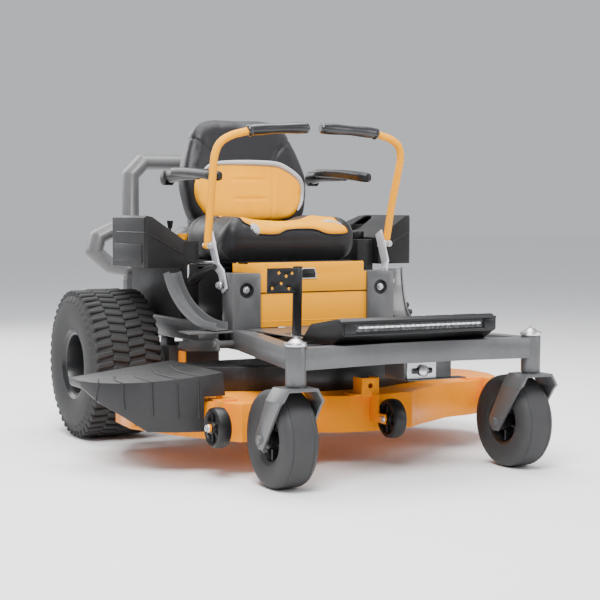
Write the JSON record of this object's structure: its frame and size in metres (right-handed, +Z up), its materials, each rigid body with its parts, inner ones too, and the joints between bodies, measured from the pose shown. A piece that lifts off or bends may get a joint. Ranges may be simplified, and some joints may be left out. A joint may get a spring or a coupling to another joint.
{
  "type": "zero turn mower",
  "caption": "Ride-on zero turn mower with a raised cutting deck, twin lap bars, front casters, padded seat and rear engine with a tube guard.",
  "frame": {"origin": "centre of the bounding box's bottom face, on the ground", "axes": "+Z up, -Y forwards, +X towards the machine's left"},
  "size_m": [1.4622, 1.7652, 1.126],
  "materials": {
    "frame_graphite": "satin powder coat",
    "guard_grey": "satin powder coat",
    "black_steel": "satin",
    "black_plastic": "grained moulding",
    "battery_case": "moulded",
    "wheel_plastic": "moulded",
    "lamp_lens": "clear lens over white emitters",
    "yellow_paint": "gloss powder coat",
    "deck_yellow": "gloss powder coat",
    "cast_metal": "as cast",
    "muffler_steel": "heat stained",
    "belt_rubber": "matte",
    "tyre": "matte",
    "rim_graphite": "satin",
    "zinc": "zinc plated",
    "blade_steel": "forged, black",
    "seat_vinyl": "grained vinyl",
    "switch_yellow": "moulded"
  },
  "bodies": {
    "chassis": {"main_rails": "frame_graphite", "front_beam": "frame_graphite", "caster_tubes": "frame_graphite", "rear_frame": "frame_graphite", "seat_towers": "frame_graphite", "fender_braces": "frame_graphite", "seat_box": "black_steel", "floor_pan": "frame_graphite", "foot_rest": "black_plastic", "light_bar": "lamp_lens", "lower_panel": "yellow_paint", "upper_panel": "yellow_paint", "fender_right": "black_plastic", "fender_left": "black_plastic", "battery_cover": "black_plastic", "fuel_tank": "black_plastic", "battery": "battery_case", "engine_block": "cast_metal", "engine_shroud": "black_plastic", "muffler": "muffler_steel", "rear_guard": "guard_grey", "transaxles": "cast_metal", "drive_belt": "belt_rubber", "frame_bolts": "zinc"},
    "crank": {"crank_pulley": "zinc"},
    "transaxle_input_right": {"input_pulley_right": "zinc"},
    "transaxle_input_left": {"input_pulley_left": "zinc"},
    "drive_wheel_right": {"rear_tyre_right": "tyre", "rear_rim_right": "rim_graphite"},
    "drive_wheel_left": {"rear_tyre_left": "tyre", "rear_rim_left": "rim_graphite"},
    "fork_right": {"caster_fork_right": "frame_graphite"},
    "fork_left": {"caster_fork_left": "frame_graphite"},
    "front_wheel_right": {"caster_wheel_right": "tyre"},
    "front_wheel_left": {"caster_wheel_left": "tyre"},
    "deck": {"deck_shell": "deck_yellow", "deck_brackets": "deck_yellow", "belt_cover": "black_steel", "deck_belt": "belt_rubber"},
    "spindle_right": {"blade_right": "blade_steel"},
    "spindle_middle": {"blade_middle": "blade_steel"},
    "spindle_left": {"blade_left": "blade_steel"},
    "guide_right": {"guide_wheel_right": "wheel_plastic"},
    "guide_middle": {"guide_wheel_middle": "wheel_plastic"},
    "guide_left": {"guide_wheel_left": "wheel_plastic"},
    "chute": {"discharge_chute": "black_plastic"},
    "lift": {"lift_shaft": "frame_graphite"},
    "pedal": {"lift_pedal": "black_steel"},
    "lever_right": {"lever_base_right": "zinc"},
    "lever_left": {"lever_base_left": "zinc"},
    "bar_right": {"lap_bar_right": "yellow_paint"},
    "bar_left": {"lap_bar_left": "yellow_paint"},
    "seat_mount": {"seat_plate": "black_steel"},
    "seat": {"seat_pan": "black_steel", "seat_cushion": "seat_vinyl", "seat_backrest": "seat_vinyl"},
    "arms": {"armrests": "black_plastic"},
    "switch": {"blade_switch": "switch_yellow"},
    "throttle": {"throttle_lever": "black_plastic"},
    "cap": {"fuel_cap": "black_plastic"}
  },
  "joints": [
    {"name": "drive_wheel_right_spin", "type": "hinge", "parent": "chassis", "child": "drive_wheel_right", "pos_m": [-0.4485, 0.40275, 0.254], "axis": [1, 0, 0], "continuous": true},
    {"name": "drive_wheel_left_spin", "type": "hinge", "parent": "chassis", "child": "drive_wheel_left", "pos_m": [0.5615, 0.40275, 0.254], "axis": [1, 0, 0], "continuous": true},
    {"name": "caster_right_swivel", "type": "hinge", "parent": "chassis", "child": "fork_right", "pos_m": [-0.338, -0.82625, 0.35], "axis": [0, 0, 1], "continuous": true},
    {"name": "caster_left_swivel", "type": "hinge", "parent": "chassis", "child": "fork_left", "pos_m": [0.451, -0.82625, 0.35], "axis": [0, 0, 1], "continuous": true},
    {"name": "front_wheel_right_spin", "type": "hinge", "parent": "fork_right", "child": "front_wheel_right", "pos_m": [-0.338, -0.74225, 0.1405], "axis": [1, 0, 0], "continuous": true},
    {"name": "front_wheel_left_spin", "type": "hinge", "parent": "fork_left", "child": "front_wheel_left", "pos_m": [0.451, -0.74225, 0.1405], "axis": [1, 0, 0], "continuous": true},
    {"name": "crank_spin", "type": "hinge", "parent": "chassis", "child": "crank", "pos_m": [0.0565, 0.57275, 0.328], "axis": [0, 0, 1], "continuous": true},
    {"name": "input_right_spin", "type": "hinge", "parent": "chassis", "child": "transaxle_input_right", "pos_m": [-0.0935, 0.40275, 0.328], "axis": [0, 0, 1], "continuous": true},
    {"name": "input_left_spin", "type": "hinge", "parent": "chassis", "child": "transaxle_input_left", "pos_m": [0.2065, 0.40275, 0.328], "axis": [0, 0, 1], "continuous": true},
    {"name": "deck_height", "type": "slide", "parent": "chassis", "child": "deck", "axis": [0, 0, 1], "range_m": [-0.07, 0]},
    {"name": "spindle_middle_spin", "type": "hinge", "parent": "deck", "child": "spindle_middle", "pos_m": [0.0865, -0.31225, 0.23], "axis": [0, 0, 1], "continuous": true},
    {"name": "spindle_right_spin", "type": "hinge", "parent": "deck", "child": "spindle_right", "pos_m": [-0.3335, -0.14225, 0.23], "axis": [0, 0, 1], "continuous": true},
    {"name": "spindle_left_spin", "type": "hinge", "parent": "deck", "child": "spindle_left", "pos_m": [0.5065, -0.14225, 0.23], "axis": [0, 0, 1], "continuous": true},
    {"name": "guide_right_spin", "type": "hinge", "parent": "deck", "child": "guide_right", "pos_m": [-0.4475, -0.54725, 0.152], "axis": [1, 0, 0], "continuous": true},
    {"name": "guide_middle_spin", "type": "hinge", "parent": "deck", "child": "guide_middle", "pos_m": [0.0965, -0.61525, 0.152], "axis": [1, 0, 0], "continuous": true},
    {"name": "guide_left_spin", "type": "hinge", "parent": "deck", "child": "guide_left", "pos_m": [0.6415, -0.40725, 0.152], "axis": [1, 0, 0], "continuous": true},
    {"name": "chute_lift", "type": "hinge", "parent": "deck", "child": "chute", "pos_m": [-0.3965, -0.14225, 0.288], "axis": [0, 1, 0], "range_deg": [0, 70]},
    {"name": "lift_turn", "type": "hinge", "parent": "chassis", "child": "lift", "pos_m": [0.0565, -0.19725, 0.357], "axis": [1, 0, 0], "range_deg": [-15, 0]},
    {"name": "pedal_swing", "type": "hinge", "parent": "chassis", "child": "pedal", "pos_m": [-0.1335, -0.46225, 0.386], "axis": [1, 0, 0], "range_deg": [-25, 0]},
    {"name": "lever_right_swing", "type": "hinge", "parent": "chassis", "child": "lever_right", "pos_m": [-0.2435, -0.14225, 0.54], "axis": [1, 0, 0], "range_deg": [-16, 12]},
    {"name": "lever_left_swing", "type": "hinge", "parent": "chassis", "child": "lever_left", "pos_m": [0.3565, -0.14225, 0.54], "axis": [1, 0, 0], "range_deg": [-16, 12]},
    {"name": "bar_right_out", "type": "hinge", "parent": "lever_right", "child": "bar_right", "pos_m": [-0.2745, -0.08425, 0.665], "axis": [0, 1, 0], "range_deg": [-35, 0]},
    {"name": "bar_left_out", "type": "hinge", "parent": "lever_left", "child": "bar_left", "pos_m": [0.3875, -0.08425, 0.665], "axis": [0, 1, 0], "range_deg": [0, 35]},
    {"name": "seat_tilt", "type": "hinge", "parent": "chassis", "child": "seat_mount", "pos_m": [0.0565, -0.12125, 0.595], "axis": [1, 0, 0], "range_deg": [0, 35]},
    {"name": "seat_slide", "type": "slide", "parent": "seat_mount", "child": "seat", "axis": [0, 1, 0], "range_m": [-0.06, 0.01]},
    {"name": "armrest_flip", "type": "hinge", "parent": "seat", "child": "arms", "pos_m": [0.0565, 0.36275, 0.889], "axis": [1, 0, 0], "range_deg": [-75, 0]},
    {"name": "blade_switch_pull", "type": "slide", "parent": "chassis", "child": "switch", "axis": [0, 0, 1], "range_m": [0, 0.008]},
    {"name": "throttle_move", "type": "hinge", "parent": "chassis", "child": "throttle", "pos_m": [-0.2765, 0.22275, 0.642], "axis": [1, 0, 0], "range_deg": [-22, 22]},
    {"name": "fuel_cap_turn", "type": "hinge", "parent": "chassis", "child": "cap", "pos_m": [0.3895, 0.13275, 0.69], "axis": [0, 0, 1], "range_deg": [0, 110]}
  ],
  "couplings": [
    {"joint": "input_right_spin", "follows": "crank_spin", "ratio": 1},
    {"joint": "input_left_spin", "follows": "crank_spin", "ratio": 1},
    {"joint": "spindle_right_spin", "follows": "spindle_middle_spin", "ratio": 1},
    {"joint": "spindle_left_spin", "follows": "spindle_middle_spin", "ratio": 1},
    {"joint": "lift_turn", "follows": "deck_height", "rad_per_m": 3.5714},
    {"joint": "pedal_swing", "follows": "deck_height", "rad_per_m": 5.6}
  ]
}
